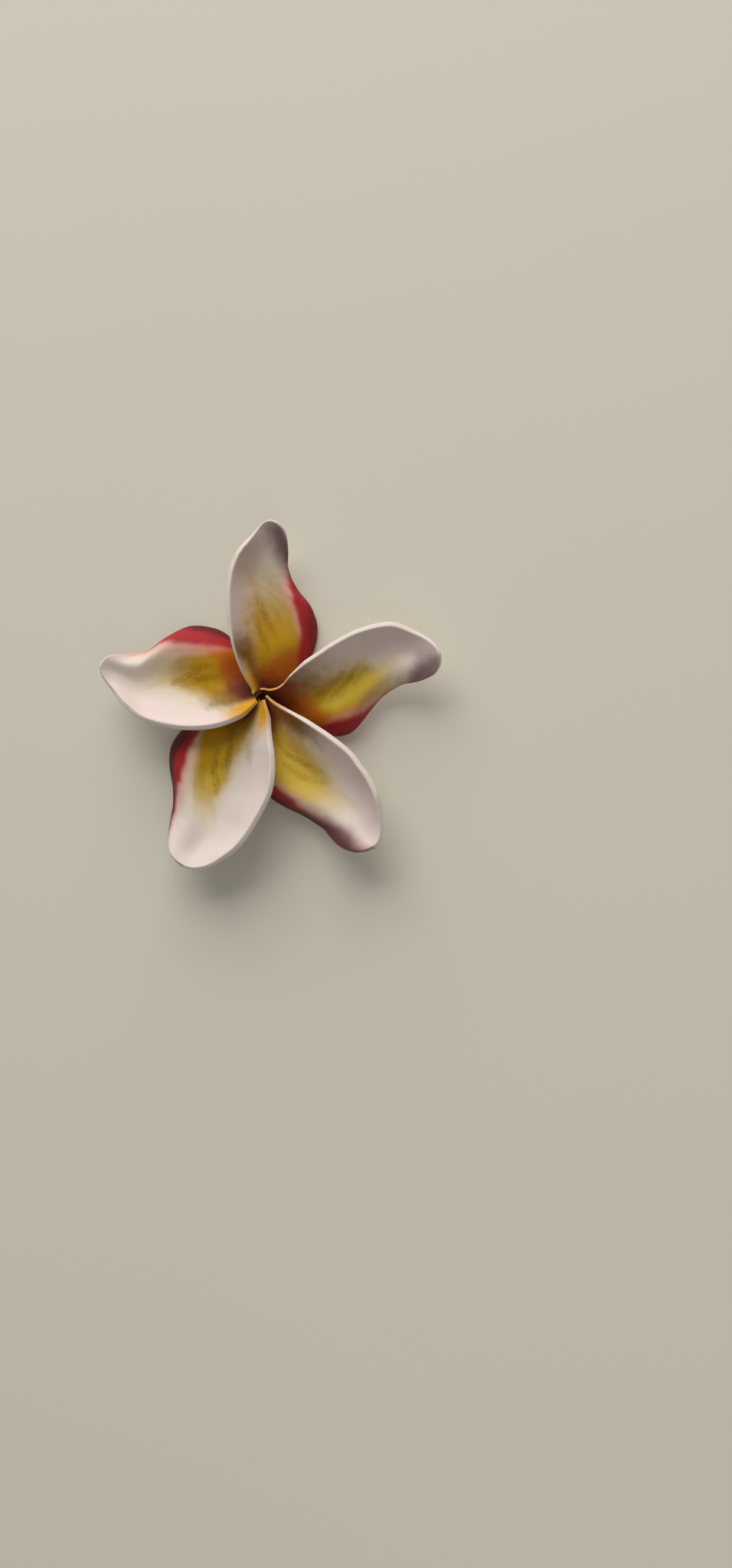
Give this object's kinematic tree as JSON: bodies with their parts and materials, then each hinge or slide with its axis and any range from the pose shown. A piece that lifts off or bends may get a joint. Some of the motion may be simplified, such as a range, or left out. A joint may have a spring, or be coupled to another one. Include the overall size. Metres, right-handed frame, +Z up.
{
  "type": "artificial frangipani flower",
  "caption": "Foam frangipani bloom, face up: petals overlap like a pinwheel, each with a raised cut rim and a rolled, painted lobe, on a short tube with a flat foot.",
  "frame": {"origin": "on the flower's axis, at the flat foot of its tube, in the plane of the surface it lies on", "axes": "+Z up out of the flower's face, +Y towards petal_top, +X towards petal_right"},
  "size_m": [0.1129, 0.1121, 0.0172],
  "materials": {
    "petal_foam": "matt craft foam, airbrushed yellow, orange and red over pale pink, with raw white cut edges",
    "tube_foam": "matt craft foam, cream, dark at the throat"
  },
  "bodies": {
    "root": {"petal_top": "petal_foam", "petal_left": "petal_foam", "petal_lower_left": "petal_foam", "petal_lower_right": "petal_foam", "petal_right": "petal_foam", "corolla_tube": "tube_foam"}
  },
  "joints": []
}
